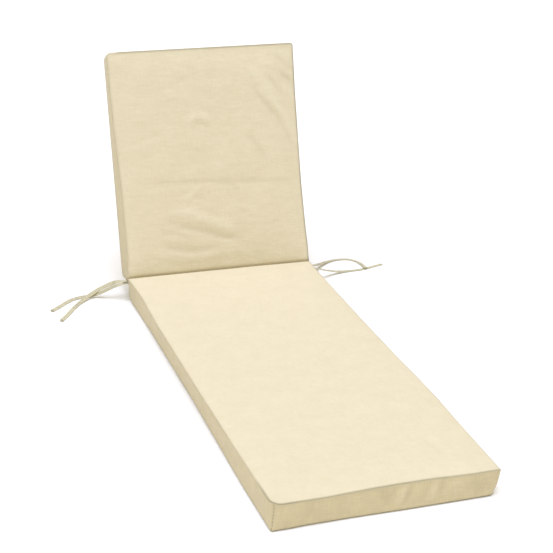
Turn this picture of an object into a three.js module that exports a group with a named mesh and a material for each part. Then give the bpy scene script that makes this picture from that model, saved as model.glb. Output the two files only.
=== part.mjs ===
// Sun lounger cushion: a seat pad that lies flat and a back pad raised on the sewn fold
// between them, with a pair of cloth tie strips at each end of the fold.
// Millimetres, +Z up, +Y towards the head end. The origin is under the middle of the
// cushion, on the surface that the seat lies on.
import * as THREE from "three";

// Driving dimensions
const WIDTH = 600; // across both pads
const SEAT_LENGTH = 1310; // from the fold to the foot end
const BACK_LENGTH = 700; // from the fold to the top edge
const BORDER = 74; // height of the border strip, seam to seam
const BACK_ANGLE = 68; // the raised back above the horizontal, in degrees
const HINGE_Y = 492; // the fold, so that the cushion's box is centred on the origin

// Shape of the filling
const TOP_CROWN = 8; // how far the top panels swell above their seams
const REAR_CROWN = 4; // the same on the rear of the back pad
const CROWN_POWER = 6; // how square the crown's shoulders are across the pad
const CROWN_PLATEAU = 0.9; // share of the crown's profile above which the filling is flat
const END_ROLL = 20; // run in which the crown fades towards an end seam
const END_BULGE = 4; // how far an end's border swells between its seams
const SIDE_BULGE = 2; // the same for a side's border
const SIDE_LEAN = 4; // how much nearer the middle a side's lower seam is than its top seam
const LOWER_ROLL = 6; // small radius between the border and the lower panel
const PUCKER_END = 0.9; // share of the border's height where its puckers have faded out

// Mesh density
const TOP_COLUMNS = 38; // across the top panels
const LOWER_COLUMNS = 8; // across the lower panels
const BORDER_ROWS = 3; // rows of points between a border's seams
const CORNER_STEPS = 4; // steps round a far corner
const SEAT_STEP = 62; // between sections along the seat
const BACK_STEP = 17; // the same along the back, which has the creases

// Plan radii of the far corners, at the top seam and at the lower one. The filling sits
// unevenly in its cover, so no two corners are alike.
const SEAT_CORNERS = { left: { top: 30, low: 3 }, right: { top: 5, low: 26 } };
const BACK_CORNERS = { left: { top: 14, low: 18 }, right: { top: 8, low: 12 } };
const CORNER_REACH = 30; // where the corners' sections begin, before the far seam
const BACK_ASKEW = 6; // how much longer the back's right side is than its left side

// Tie strips
const TIE_WIDTH = 12;
const TIE_THICKNESS = 2;
const TIE_EDGE = 0.6; // corner cut of a strip's section
const TIE_STEPS = 26; // sections along a strip

// Colours
const TOP_COLOUR = 0xe9ddba;
const TIE_COLOUR = 0xd6cda6;

const radians = THREE.MathUtils.degToRad;
const lerp = THREE.MathUtils.lerp;

// The stations that close a pad at the fold, from the full section to the sewn web.
// along and depth are measured from the fold's line in the pad's own frame, and lean is how
// much nearer the middle the lower edge is than the top edge.
const FOLD_STATIONS = [
  { topAlong: -4, topDepth: 6, lowAlong: -9, lowDepth: 13.5, lean: 1 },
  { topAlong: 1, topDepth: 3.2, lowAlong: -2.5, lowDepth: 20, lean: 1.5 },
  { topAlong: 4.5, topDepth: 1.5, lowAlong: -0.5, lowDepth: 32, lean: 2.5 },
  { topAlong: 8, topDepth: 0.6, lowAlong: 0, lowDepth: 46, lean: 3 },
  { topAlong: 13, topDepth: 0.2, lowAlong: 2, lowDepth: 60, lean: 4 },
  { topAlong: 19, topDepth: 0, lowAlong: 8, lowDepth: 70, lean: 5 },
  { topAlong: 28, topDepth: 0, lowAlong: 20, lowDepth: BORDER, lean: 4.5 },
  { topAlong: 40, topDepth: 0, lowAlong: 38, lowDepth: BORDER, lean: 4 },
];

// Main creases in the back's front panel, as ridges and, where height is negative, troughs.
// across and up are measured from the middle of the sewn fold; bow lifts a crease's middle
// off the straight line between its ends.
const BACK_CREASES = [
  { across: -160, up: 158, toAcross: 84, toUp: 86, bow: -6, width: 15, height: -4.5 },
  { across: -150, up: 200, toAcross: 62, toUp: 114, bow: 4, width: 20, height: 4.5 },
  { across: -196, up: 92, toAcross: 10, toUp: 74, bow: -16, width: 13, height: -3.5 },
  { across: -204, up: 62, toAcross: 4, toUp: 40, bow: -10, width: 17, height: 3.5 },
  { across: 138, up: 640, toAcross: 296, toUp: 376, bow: 10, width: 20, height: 4 },
  { across: 196, up: 516, toAcross: 290, toUp: 352, bow: 8, width: 15, height: -3 },
  { across: 214, up: 632, toAcross: 292, toUp: 556, bow: 4, width: 15, height: -3.5 },
  { across: 236, up: 676, toAcross: 296, toUp: 620, bow: 3, width: 13, height: 3 },
  { across: -72, up: 462, toAcross: 8, toUp: 462, bow: 20, width: 13, height: 2.5 },
  { across: -190, up: 284, toAcross: 280, toUp: 258, bow: 3, width: 12, height: -1.5 },
];

// Soft puckers in the foot end's border, below its top seam. slant is how far the pucker
// leans sideways on its way down.
const FOOT_PUCKERS = [
  { across: -210, slant: 14, width: 16, height: -1.5 },
  { across: -44, slant: 26, width: 13, height: -2.5 },
  { across: 34, slant: -28, width: 14, height: 3 },
  { across: 62, slant: -22, width: 13, height: -2.5 },
  { across: 132, slant: -14, width: 13, height: 2.5 },
  { across: 236, slant: 10, width: 16, height: -2 },
];

// Tie routes, by hand. y is measured from the fold, z is the strip's middle above the
// surface, and tilt is the turn of its width about the route, in degrees, 0 lying flat.
const TIE_ROUTES = {
  tie_left_upper: [
    { x: -300.2, y: 4, z: 60.5, tilt: 0 },
    { x: -313, y: 10, z: 59.5, tilt: 4 },
    { x: -330, y: 26, z: 53, tilt: 35 },
    { x: -348, y: 34, z: 44, tilt: 52 },
    { x: -367, y: 38, z: 34.5, tilt: 52 },
    { x: -386, y: 39, z: 25.5, tilt: 48 },
    { x: -405, y: 35, z: 17.5, tilt: 42 },
    { x: -424, y: 26, z: 11, tilt: 34 },
    { x: -441, y: 13, z: 6.6, tilt: 28 },
    { x: -456, y: -1, z: 4.4, tilt: 24 },
    { x: -470, y: -18, z: 3.6, tilt: 22 },
    { x: -483, y: -35, z: 3.6, tilt: 22 },
    { x: -495, y: -53, z: 3.6, tilt: 22 },
    { x: -507, y: -70, z: 3.5, tilt: 20 },
    { x: -520, y: -87, z: 3.2, tilt: 18 },
    { x: -534, y: -104, z: 2.8, tilt: 14 },
  ],
  tie_left_lower: [
    { x: -300.2, y: 4, z: 57, tilt: 0 },
    { x: -315, y: 4, z: 54.5, tilt: 4 },
    { x: -334, y: 5, z: 51, tilt: 30 },
    { x: -348, y: 13, z: 42, tilt: 46 },
    { x: -362, y: 21, z: 31.5, tilt: 46 },
    { x: -377, y: 29, z: 20.5, tilt: 42 },
    { x: -394, y: 37, z: 11, tilt: 32 },
    { x: -413, y: 43, z: 5.6, tilt: 24 },
    { x: -433, y: 44, z: 3.6, tilt: 22 },
    { x: -452, y: 40, z: 3.4, tilt: 20 },
    { x: -470, y: 33, z: 3.2, tilt: 18 },
    { x: -487, y: 21, z: 3.2, tilt: 18 },
    { x: -502, y: 8, z: 3.2, tilt: 18 },
    { x: -516, y: -5, z: 3.2, tilt: 18 },
    { x: -531, y: -18, z: 3, tilt: 16 },
    { x: -548, y: -30, z: 2.6, tilt: 12 },
  ],
  tie_right_upper: [
    { x: 300.2, y: 4, z: 60.5, tilt: 0 },
    { x: 314, y: 16, z: 52, tilt: 0 },
    { x: 330, y: 32, z: 40, tilt: -6 },
    { x: 345, y: 50, z: 30, tilt: -10 },
    { x: 360, y: 67, z: 22.5, tilt: -10 },
    { x: 376, y: 85, z: 16, tilt: -8 },
    { x: 393, y: 101, z: 10.5, tilt: -6 },
    { x: 412, y: 116, z: 6.2, tilt: -3 },
    { x: 433, y: 128, z: 3.2, tilt: 0 },
    { x: 456, y: 135, z: 1.8, tilt: 0 },
    { x: 480, y: 136, z: 1.5, tilt: 0 },
    { x: 504, y: 129, z: 1.5, tilt: 0 },
    { x: 520, y: 111, z: 1.7, tilt: 0 },
    { x: 528, y: 89, z: 2.4, tilt: 0 },
    { x: 530, y: 64, z: 4, tilt: 0 },
    { x: 529, y: 40, z: 5, tilt: 0 },
  ],
  tie_right_lower: [
    { x: 300.2, y: 3, z: 56.5, tilt: 0 },
    { x: 316, y: 1, z: 47.5, tilt: 0 },
    { x: 336, y: 3, z: 40, tilt: 0 },
    { x: 356, y: 8, z: 32, tilt: -4 },
    { x: 375, y: 14, z: 24.5, tilt: -8 },
    { x: 393, y: 22, z: 17.5, tilt: -12 },
    { x: 412, y: 29, z: 11, tilt: -12 },
    { x: 432, y: 34, z: 6, tilt: -10 },
    { x: 453, y: 38, z: 3, tilt: -6 },
    { x: 474, y: 40, z: 1.8, tilt: -2 },
    { x: 496, y: 41, z: 1.4, tilt: 0 },
    { x: 517, y: 44, z: 1.4, tilt: 0 },
    { x: 538, y: 49, z: 1.4, tilt: 0 },
    { x: 558, y: 55, z: 1.4, tilt: 0 },
    { x: 578, y: 61, z: 1.4, tilt: 0 },
    { x: 599, y: 67, z: 1.4, tilt: 0 },
  ],
};

// Collects the points and triangles of one closed surface.
class Surface {
  constructor() {
    this.positions = [];
    this.triangles = [];
  }

  row(points) {
    return points.map((point) => {
      this.positions.push(point.x, point.y, point.z);
      return this.positions.length / 3 - 1;
    });
  }

  // Fills the band between two rows that run the same way, of any two counts.
  band(from, to) {
    let i = 0;
    let j = 0;
    while (i < from.length - 1 || j < to.length - 1) {
      const nextFrom = (i + 1) / (from.length - 1);
      const nextTo = (j + 1) / (to.length - 1);
      if (i < from.length - 1 && (j === to.length - 1 || nextFrom <= nextTo)) {
        this.triangles.push(from[i], from[i + 1], to[j]);
        i += 1;
      } else {
        this.triangles.push(from[i], to[j + 1], to[j]);
        j += 1;
      }
    }
  }

  // Fills a flat outline from its first point.
  fan(outline) {
    for (let i = 1; i < outline.length - 1; i += 1) {
      this.triangles.push(outline[0], outline[i], outline[i + 1]);
    }
  }

  geometry() {
    const geometry = new THREE.BufferGeometry();
    geometry.setAttribute("position", new THREE.Float32BufferAttribute(this.positions, 3));
    geometry.setIndex(this.triangles);
    geometry.computeVertexNormals();
    return geometry;
  }
}

// A pad's own frame: across the pad, along it away from the fold, and out of its top panel.
// askew is the share by which the right side is longer than the left one.
function padFrame(along, out, askew) {
  const fold = new THREE.Vector3(0, HINGE_Y, BORDER);
  return (across, distance, height) => {
    const stretched = distance * (1 + askew * (0.5 + across / WIDTH));
    return fold.clone().addScaledVector(along, stretched).addScaledVector(out, height).setX(across);
  };
}

function backFrame() {
  const rise = Math.sin(radians(BACK_ANGLE));
  const run = Math.cos(radians(BACK_ANGLE));
  const along = new THREE.Vector3(0, run, rise);
  return padFrame(along, new THREE.Vector3(0, -rise, run), BACK_ASKEW / BACK_LENGTH);
}

// A curve that is 0 at both ends of a run and 1 in the middle.
function arch(share) {
  return 4 * share * (1 - share);
}

// The stations of one pad, from the fold to the far seam. turn is the angle of the far
// corners' arcs, 0 before they begin.
function padStations(pad) {
  const stations = FOLD_STATIONS.map((row) => ({ ...row, turn: 0 }));
  const first = FOLD_STATIONS.at(-1).topAlong;
  const last = pad.end - CORNER_REACH;
  const count = Math.round((last - first) / pad.step);
  for (let i = 1; i <= count; i += 1) {
    stations.push(plainStation(first + ((last - first) * i) / count, 0));
  }
  for (let i = 1; i <= CORNER_STEPS; i += 1) {
    stations.push(plainStation(pad.end, (Math.PI / 2) * (i / CORNER_STEPS)));
  }
  return stations;
}

function plainStation(along, turn) {
  return {
    topAlong: along,
    topDepth: 0,
    lowAlong: along,
    lowDepth: BORDER,
    lean: SIDE_LEAN,
    turn,
  };
}

// One edge of a station at a share of the border's height: how far along it is and its
// distance from the pad's middle line. A turned station lies on its corner's arc.
function edgeAt(station, corner, share) {
  const radius = lerp(corner.top, corner.low, share);
  return {
    along: lerp(station.topAlong, station.lowAlong, share) - radius * arcGap(station.turn),
    half: WIDTH / 2 - station.lean * share - radius * (1 - Math.cos(station.turn)),
  };
}

// What a station's arc still lacks of the far seam, in radii.
function arcGap(turn) {
  return turn > 0 ? 1 - Math.sin(turn) : 0;
}

// A point of a station's row, at a share of the way from its left edge to its right edge.
function between(left, right, share) {
  return {
    across: lerp(-left.half, right.half, share),
    along: lerp(left.along, right.along, share),
  };
}

// The crown's share at a point: square shouldered across, fading towards both ends, and
// flat over the middle.
function crownShare(acrossShare, fromFold, fromEnd) {
  const across = 1 - Math.abs(acrossShare) ** CROWN_POWER;
  const fade = (distance) => 1 - Math.exp(-Math.max(distance, 0) / END_ROLL);
  const ends = fade(fromFold) * fade(fromEnd);
  return Math.min(1, across / CROWN_PLATEAU) * Math.min(1, ends / CROWN_PLATEAU);
}

// Height of one crease at a point: a bell across it, fading out at both its ends.
function creaseHeight(crease, across, up) {
  const runAcross = crease.toAcross - crease.across;
  const runUp = crease.toUp - crease.up;
  const run = Math.hypot(runAcross, runUp);
  const fromAcross = across - crease.across;
  const fromUp = up - crease.up;
  const share = (fromAcross * runAcross + fromUp * runUp) / run ** 2;
  if (share <= 0 || share >= 1) {
    return 0;
  }
  const sideways = (fromUp * runAcross - fromAcross * runUp) / run;
  const off = sideways - crease.bow * arch(share);
  const bell = Math.exp(-((off / crease.width) ** 2));
  return crease.height * bell * Math.sqrt(Math.sin(Math.PI * share));
}

function backCreases(across, up) {
  return BACK_CREASES.reduce((sum, crease) => sum + creaseHeight(crease, across, up), 0);
}

// The top panel's row of points at one station, from left to right.
function topRow(station, pad) {
  const left = edgeAt(station, pad.corners.left, 0);
  const right = edgeAt(station, pad.corners.right, 0);
  const row = [];
  for (let i = 0; i <= TOP_COLUMNS; i += 1) {
    const { across, along } = between(left, right, i / TOP_COLUMNS);
    const crown = TOP_CROWN * crownShare((2 * i) / TOP_COLUMNS - 1, along, pad.end - along);
    const height = crown + pad.creases(across, along) - station.topDepth;
    row.push(pad.frame(across, along, height));
  }
  return row;
}

// One side border's points below the top seam; side is 1 on the right and -1 on the left.
function borderRow(station, pad, corner, side) {
  const row = [];
  const roll = station.lowDepth === BORDER ? LOWER_ROLL : 0;
  for (let i = 1; i <= BORDER_ROWS + 1; i += 1) {
    const share = i / (BORDER_ROWS + 1);
    const edge = edgeAt(station, corner, share);
    const depth = lerp(station.topDepth, station.lowDepth - roll, share);
    const height = (station.lowDepth - station.topDepth) / BORDER;
    const bulge = lerp(SIDE_BULGE, END_BULGE, Math.sin(station.turn) ** 2);
    const swell = bulge * height * arch(share);
    const across = side * (edge.half + swell * Math.cos(station.turn));
    row.push(pad.frame(across, edge.along + swell * Math.sin(station.turn), -depth));
  }
  return row;
}

// The lower panel's row of points, from right to left.
function lowerRow(station, pad) {
  const left = rolledIn(edgeAt(station, pad.corners.left, 1), station.turn);
  const right = rolledIn(edgeAt(station, pad.corners.right, 1), station.turn);
  const row = [];
  for (let i = 0; i <= LOWER_COLUMNS; i += 1) {
    const share = 1 - i / LOWER_COLUMNS;
    const { across, along } = between(left, right, share);
    const crown = pad.lowerCrown * crownShare(2 * share - 1, along, pad.end - along);
    row.push(pad.frame(across, along, -station.lowDepth - crown));
  }
  return row;
}

// An edge moved in by the small radius between the border and the lower panel.
function rolledIn(edge, turn) {
  return {
    along: edge.along - LOWER_ROLL * Math.sin(turn),
    half: edge.half - LOWER_ROLL * Math.cos(turn),
  };
}

// Puts one station's closed section on the surface as four rows of indices that share
// their end points, all running clockwise round the section as seen from the fold.
function laySection(surface, station, pad) {
  const top = surface.row(topRow(station, pad));
  const lower = surface.row(lowerRow(station, pad));
  const rightBorder = surface.row(borderRow(station, pad, pad.corners.right, 1));
  const leftBorder = surface.row(borderRow(station, pad, pad.corners.left, -1));
  const right = [top.at(-1), ...rightBorder, lower[0]];
  const left = [top[0], ...leftBorder, lower.at(-1)];
  return { top, right, lower, left: left.reverse() };
}

function joinSections(surface, from, to) {
  surface.band(from.top, to.top);
  surface.band(from.right, to.right);
  surface.band(from.lower, to.lower);
  surface.band(from.left, to.left);
}

// The far border, a swelling grid between the last section's top and lower rows.
function closeEnd(surface, section, station, pad) {
  const left = [...section.left].reverse();
  let previous = section.top;
  for (let row = 1; row <= BORDER_ROWS + 1; row += 1) {
    const share = row / (BORDER_ROWS + 1);
    const depth = (BORDER - LOWER_ROLL) * share;
    const leftEdge = edgeAt(station, pad.corners.left, share);
    const rightEdge = edgeAt(station, pad.corners.right, share);
    const inner = [];
    for (let i = 1; i < TOP_COLUMNS; i += 1) {
      const { across, along } = between(leftEdge, rightEdge, i / TOP_COLUMNS);
      const swell = END_BULGE * arch(share) + pad.puckers(across, share);
      inner.push(pad.frame(across, along + swell, -depth));
    }
    const current = [left[row], ...surface.row(inner), section.right[row]];
    surface.band(previous, current);
    previous = current;
  }
  surface.band(previous, [...section.lower].reverse());
}

// How far the foot end's border stands out by its puckers at a share of its height.
function footPuckers(across, share) {
  const fade = Math.sin(Math.PI * Math.min(1, share / PUCKER_END));
  return FOOT_PUCKERS.reduce((sum, pucker) => {
    const off = across - pucker.across - pucker.slant * share;
    return sum + pucker.height * fade * Math.exp(-((off / pucker.width) ** 2));
  }, 0);
}

const SEAT = {
  frame: padFrame(new THREE.Vector3(0, -1, 0), new THREE.Vector3(0, 0, 1), 0),
  end: SEAT_LENGTH - END_BULGE,
  step: SEAT_STEP,
  corners: SEAT_CORNERS,
  lowerCrown: 0,
  creases: () => 0,
  puckers: footPuckers,
};

const BACK = {
  frame: backFrame(),
  end: BACK_LENGTH - END_BULGE,
  step: BACK_STEP,
  corners: BACK_CORNERS,
  lowerCrown: REAR_CROWN,
  creases: backCreases,
  puckers: () => 0,
};

// The whole cushion as one skin: the seat's sections from the foot end to the fold, then
// the back's from the fold to the top edge.
function cushionGeometry() {
  const surface = new Surface();
  const seatStations = padStations(SEAT).reverse();
  const backStations = padStations(BACK).slice(1);
  const sections = [
    ...seatStations.map((station) => laySection(surface, station, SEAT)),
    ...backStations.map((station) => laySection(surface, station, BACK)),
  ];
  for (let i = 1; i < sections.length; i += 1) {
    joinSections(surface, sections[i - 1], sections[i]);
  }
  closeEnd(surface, sections.at(-1), backStations.at(-1), BACK);
  const backEnd = surface.triangles.length;
  closeEnd(surface, sections[0], seatStations[0], SEAT);
  flip(surface.triangles, backEnd);
  return surface.geometry();
}

// Turns the triangles from a place in the list onwards to face the other way.
function flip(triangles, from) {
  for (let i = from; i < triangles.length; i += 3) {
    [triangles[i + 1], triangles[i + 2]] = [triangles[i + 2], triangles[i + 1]];
  }
}

// A strip's section, round its eight corners, as offsets in its width and its thickness.
function tieSection() {
  const half = TIE_WIDTH / 2;
  const thin = TIE_THICKNESS / 2;
  const upper = [
    [half, thin - TIE_EDGE],
    [half - TIE_EDGE, thin],
    [TIE_EDGE - half, thin],
    [-half, thin - TIE_EDGE],
  ];
  return [...upper, ...upper.map(([wide, thick]) => [-wide, -thick])];
}

// The corners of the strip's section at a share of its route. Its first section lies flat
// against the end of the fold.
function tieRing(curve, route, share) {
  const centre = curve.getPoint(share);
  const outward = new THREE.Vector3(Math.sign(centre.x), 0, 0);
  const tangent = share > 0 ? curve.getTangent(share) : outward;
  const place = share * (route.length - 1);
  const row = Math.min(Math.floor(place), route.length - 2);
  const tilt = radians(lerp(route[row].tilt, route[row + 1].tilt, place - row));
  const level = new THREE.Vector3(tangent.y, -tangent.x, 0).normalize();
  const upright = new THREE.Vector3().crossVectors(level, tangent).normalize();
  const across = level.multiplyScalar(Math.cos(tilt)).addScaledVector(upright, Math.sin(tilt));
  const out = new THREE.Vector3().crossVectors(across, tangent);
  return tieSection().map(([wide, thick]) =>
    centre.clone().addScaledVector(across, wide).addScaledVector(out, thick),
  );
}

// A flat stitched strip that follows a route, its section turned by the route's tilt.
function tieGeometry(route) {
  const surface = new Surface();
  const points = route.map((point) => new THREE.Vector3(point.x, HINGE_Y + point.y, point.z));
  const curve = new THREE.CatmullRomCurve3(points, false, "centripetal");
  const rings = [];
  for (let i = 0; i <= TIE_STEPS; i += 1) {
    rings.push(surface.row(tieRing(curve, route, i / TIE_STEPS)));
  }
  for (let i = 1; i < rings.length; i += 1) {
    surface.band([...rings[i], rings[i][0]], [...rings[i - 1], rings[i - 1][0]]);
  }
  surface.fan(rings[0]);
  surface.fan([...rings.at(-1)].reverse());
  return surface.geometry();
}

function cloth(colour) {
  return new THREE.MeshStandardMaterial({ color: colour, roughness: 0.9, metalness: 0 });
}

const lounger_cushion = new THREE.Group();

const cushion = new THREE.Mesh(cushionGeometry(), cloth(TOP_COLOUR));
cushion.name = "cushion";
lounger_cushion.add(cushion);

for (const [name, route] of Object.entries(TIE_ROUTES)) {
  const strip = new THREE.Mesh(tieGeometry(route), cloth(TIE_COLOUR));
  strip.name = name;
  lounger_cushion.add(strip);
}

export default lounger_cushion;
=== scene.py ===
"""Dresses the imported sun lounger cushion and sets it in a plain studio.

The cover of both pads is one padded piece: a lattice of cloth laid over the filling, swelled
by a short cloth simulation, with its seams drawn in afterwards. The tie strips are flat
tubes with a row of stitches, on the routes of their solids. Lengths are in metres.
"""

import logging
import math
from dataclasses import dataclass, field
from enum import Enum
from typing import Any, Sequence, Union

import bmesh
import bpy
import numpy as np
from mathutils import Matrix, Vector, noise


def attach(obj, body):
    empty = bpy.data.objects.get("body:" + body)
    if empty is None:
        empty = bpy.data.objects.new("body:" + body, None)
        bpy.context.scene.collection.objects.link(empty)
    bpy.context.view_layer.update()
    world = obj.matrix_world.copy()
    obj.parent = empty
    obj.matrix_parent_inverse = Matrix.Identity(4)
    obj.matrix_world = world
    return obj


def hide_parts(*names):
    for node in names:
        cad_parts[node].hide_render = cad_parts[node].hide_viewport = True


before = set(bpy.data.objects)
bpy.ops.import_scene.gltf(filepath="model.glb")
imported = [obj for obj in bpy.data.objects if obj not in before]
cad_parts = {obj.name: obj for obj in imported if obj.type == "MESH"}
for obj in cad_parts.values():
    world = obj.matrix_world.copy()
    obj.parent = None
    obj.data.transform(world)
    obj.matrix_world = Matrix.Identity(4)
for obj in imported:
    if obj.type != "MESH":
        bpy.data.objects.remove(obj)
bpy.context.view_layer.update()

PHOTO_SIDE = 553
BODY = "root"
log = logging.getLogger("lounger_cushion")

Number = Union["Flow", float]


class Slot(Enum):
    """The record's material slots."""

    CUSHION = "cushion_cloth"
    TIE = "tie_cloth"


class Flow:
    """A socket's output in a material; operators on it add the material's Math nodes."""

    def __init__(self, sheet: "NodeSheet", socket: bpy.types.NodeSocket) -> None:
        """Keeps the socket and the sheet that its further nodes go on."""
        self.sheet = sheet
        self.socket = socket

    def math(self, operation: str, *values: Number) -> "Flow":
        """Adds one Math node.

        Args:
            operation: the Math node's operation.
            values: its inputs, in order.

        Returns:
            The node's result.
        """
        return self.sheet.node("ShaderNodeMath", {"operation": operation}, *values)

    def __add__(self, other: Number) -> "Flow":
        """Adds another value."""
        return self.math("ADD", self, other)

    def __radd__(self, other: Number) -> "Flow":
        """Adds this to a number."""
        return self.math("ADD", other, self)

    def __sub__(self, other: Number) -> "Flow":
        """Takes another value away."""
        return self.math("SUBTRACT", self, other)

    def __rsub__(self, other: Number) -> "Flow":
        """Takes this away from a number."""
        return self.math("SUBTRACT", other, self)

    def __mul__(self, other: Number) -> "Flow":
        """Multiplies by another value."""
        return self.math("MULTIPLY", self, other)

    def __rmul__(self, other: Number) -> "Flow":
        """Multiplies a number by this."""
        return self.math("MULTIPLY", other, self)

    def __pow__(self, other: Number) -> "Flow":
        """Raises to a power."""
        return self.math("POWER", self, other)

    def sine(self) -> "Flow":
        """The sine of this value, in radians."""
        return self.math("SINE", self)

    def size(self) -> "Flow":
        """This value without its sign."""
        return self.math("ABSOLUTE", self)


class NodeSheet:
    """The node tree of one new material."""

    def __init__(self, name: str) -> None:
        """Starts a material whose Principled shader is already joined to its output."""
        self.material = bpy.data.materials.new(name)
        self.material.use_nodes = True
        self.tree = self.material.node_tree
        self.shader = self.tree.nodes["Principled BSDF"]

    def node(self, kind: str, settings: dict[str, Any], *values: Any, output: int = 0,
             **named: Any) -> Flow:
        """Adds any node.

        Args:
            kind: the node's type.
            settings: its own settings, set before its sockets.
            values: values or flows of its first sockets, in order; None leaves one alone.
            output: which of its outputs is wanted.
            named: values or flows of sockets by name, with _ for a space.

        Returns:
            The wanted output.
        """
        node = self.tree.nodes.new(kind)
        for name, value in settings.items():
            setattr(node, name, value)
        sockets = list(zip(node.inputs, values))
        sockets += [(node.inputs[name.replace("_", " ")], value) for name, value in named.items()]
        for socket, value in sockets:
            self.feed(socket, value)
        return Flow(self, node.outputs[output])

    def feed(self, socket: bpy.types.NodeSocket, value: Any) -> None:
        """Links a flow to a socket, or sets the socket to a value."""
        if isinstance(value, Flow):
            self.tree.links.new(value.socket, socket)
        elif value is not None:
            socket.default_value = value

    def mix(self, factor: Number, first: Any, second: Any) -> Flow:
        """Mixes two colours.

        Args:
            factor: 0 for the first, 1 for the second.
            first: a colour of four numbers, or a flow.
            second: the same.

        Returns:
            The mixed colour.
        """
        node = self.tree.nodes.new("ShaderNodeMix")
        node.data_type = "RGBA"
        self.feed(node.inputs["Factor"], factor)
        self.feed(node.inputs[6], first)
        self.feed(node.inputs[7], second)
        return Flow(self, node.outputs[2])

    def stretched(self, coordinates: Flow, across: float, along: float) -> Flow:
        """Scales the two cloth coordinates by numbers of their own."""
        scale = {"operation": "MULTIPLY"}
        return self.node("ShaderNodeVectorMath", scale, coordinates, (across, along, 1.0))

    def noise(self, coordinates: Flow, scale: float, detail: float, seed: float) -> Flow:
        """Adds soft noise, from 0 to 1.

        Args:
            coordinates: where it is read.
            scale: its spots for each unit.
            detail: its finer octaves.
            seed: a fourth coordinate that sets it apart from other noise.

        Returns:
            The noise value.
        """
        settings = {"noise_dimensions": "4D"}
        return self.node("ShaderNodeTexNoise", settings, coordinates, seed,
                         Scale=scale, Detail=detail)


def rgba(colour: tuple[float, float, float]) -> tuple[float, float, float, float]:
    """A colour with full alpha."""
    return (*colour, 1.0)


@dataclass(frozen=True)
class Canvas:
    """Plain woven cloth with slubs and soft blotches, painted shade and darker thread beside its
    seams, painted highlight and shade on its creases, and a darker, painted-shade border strip.
    """

    name: str
    light: tuple[float, float, float]
    deep: tuple[float, float, float]
    # seam is the dark colour of the painted shade beside seams and in crease troughs, also of the
    # thread; strip is a darker copy of the cloth, painted as shade on the border strips.
    seam: tuple[float, float, float]
    strip: tuple[float, float, float]
    thread: float = 0.0011
    slub_length: float = 0.038
    slub_width: float = 0.0019
    slub_contrast: float = 2.4
    blotch: float = 0.055
    rumple: float = 0.016
    wave: float = 0.0035
    roughness: float = 0.86
    sheen: float = 0.2
    # Strength of the painted highlight on crease crests and the painted shade in their troughs.
    painted_shading: float = 0.09

    def weave(self, sheet: NodeSheet, place: Flow) -> Flow:
        """Height of the plain weave, from 0 between threads to 1 on their crowns."""
        axes = [self.axis(sheet, place, output) for output in (0, 1)]
        across, along = [(axis * (math.pi / self.thread)).sine() for axis in axes]
        return (across * along).size() ** 0.6

    def axis(self, sheet: NodeSheet, place: Flow, output: int) -> Flow:
        """One of the two cloth coordinates, in metres."""
        return sheet.node("ShaderNodeSeparateXYZ", {}, place, output=output)

    def slubs(self, sheet: NodeSheet, place: Flow) -> Flow:
        """Thick places in the threads of both directions, from 0 to 1."""
        fine, long = 1 / self.slub_width, 1 / self.slub_length
        warp = sheet.noise(sheet.stretched(place, fine, long), 1.0, 1.0, 3.0)
        weft = sheet.noise(sheet.stretched(place, long, fine), 1.0, 1.0, 7.0)
        return (warp + weft) * 0.5

    def build(self) -> bpy.types.Material:
        """Builds the material.

        Returns:
            The material, which reads the piece's cloth UV map, its seam attribute of painted shade
            and thread, and its fold and border attributes.
        """
        sheet = NodeSheet(self.name)
        place = sheet.node("ShaderNodeUVMap", {"uv_map": "cloth"})
        # seam holds the painted shade and darker thread beside the seams, fold how far a point is
        # on a crease's crest or in its trough, and border the border strips.
        seam_thread_and_shade, border, fold = (
            sheet.node("ShaderNodeAttribute", {"attribute_name": name}, output=2)
            for name in ("seam", "border", "fold"))
        slubs = self.slubs(sheet, place)
        blotches = sheet.noise(place, 1 / self.blotch, 3.0, 11.0)
        tone = (slubs - 0.5) * self.slub_contrast + (blotches - 0.5) * 0.9 + 0.5
        colour = sheet.mix(tone, rgba(self.deep), rgba(self.light))
        # The border strips get a darker copy of the cloth's colour: painted shade for their sides,
        # which face away from the overhead light.
        strip = sheet.mix(tone, rgba(tuple(0.90 * part for part in self.strip)),
                          rgba(tuple(1.12 * part for part in self.strip)))
        colour = sheet.mix(border, colour, strip)
        # Painted highlight on crease crests, then painted shade in their troughs.
        colour = sheet.mix(fold * self.painted_shading, colour, rgba((0.95, 0.92, 0.80)))
        colour = sheet.mix(fold * -2 * self.painted_shading, colour, rgba(self.seam))
        # Painted shade beside the seams and in and near the fold, also standing for the seams'
        # darker thread.
        colour = sheet.mix(seam_thread_and_shade * 0.9, colour, rgba(self.seam))
        sheet.feed(sheet.shader.inputs["Base Color"], colour)
        sheet.feed(sheet.shader.inputs["Roughness"], self.roughness + (slubs - 0.5) * 0.12)
        rumples = sheet.noise(place, 1 / self.rumple, 2.0, 19.0)
        waves = sheet.noise(sheet.stretched(place, 14.0, 34.0), 1.0, 2.0, 23.0)
        height = self.weave(sheet, place) * 0.00018 + slubs * 0.0004
        height = height + rumples * 0.0013 + waves * self.wave
        bump = sheet.node("ShaderNodeBump", {}, Height=height, Distance=1.0, Strength=0.8)
        sheet.feed(sheet.shader.inputs["Normal"], bump)
        sheet.shader.inputs["Sheen Weight"].default_value = self.sheen
        sheet.shader.inputs["Sheen Roughness"].default_value = 0.45
        sheet.shader.inputs["Specular IOR Level"].default_value = 0.25
        return sheet.material


# Light and deep tones, the dark colour of painted shade and thread, and the border strips' darker,
# painted-shade colour.
CUSHION_CANVAS = Canvas("cream canvas", (0.755, 0.680, 0.495), (0.685, 0.610, 0.425),
                        (0.31, 0.28, 0.17), (0.625, 0.540, 0.335))
TIE_CANVAS = Canvas("cream canvas strip", (0.64, 0.60, 0.42), (0.53, 0.49, 0.33),
                    (0.32, 0.29, 0.19), (0.60, 0.53, 0.35), slub_width=0.0016,
                    slub_length=0.02, wave=0.0)


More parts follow.
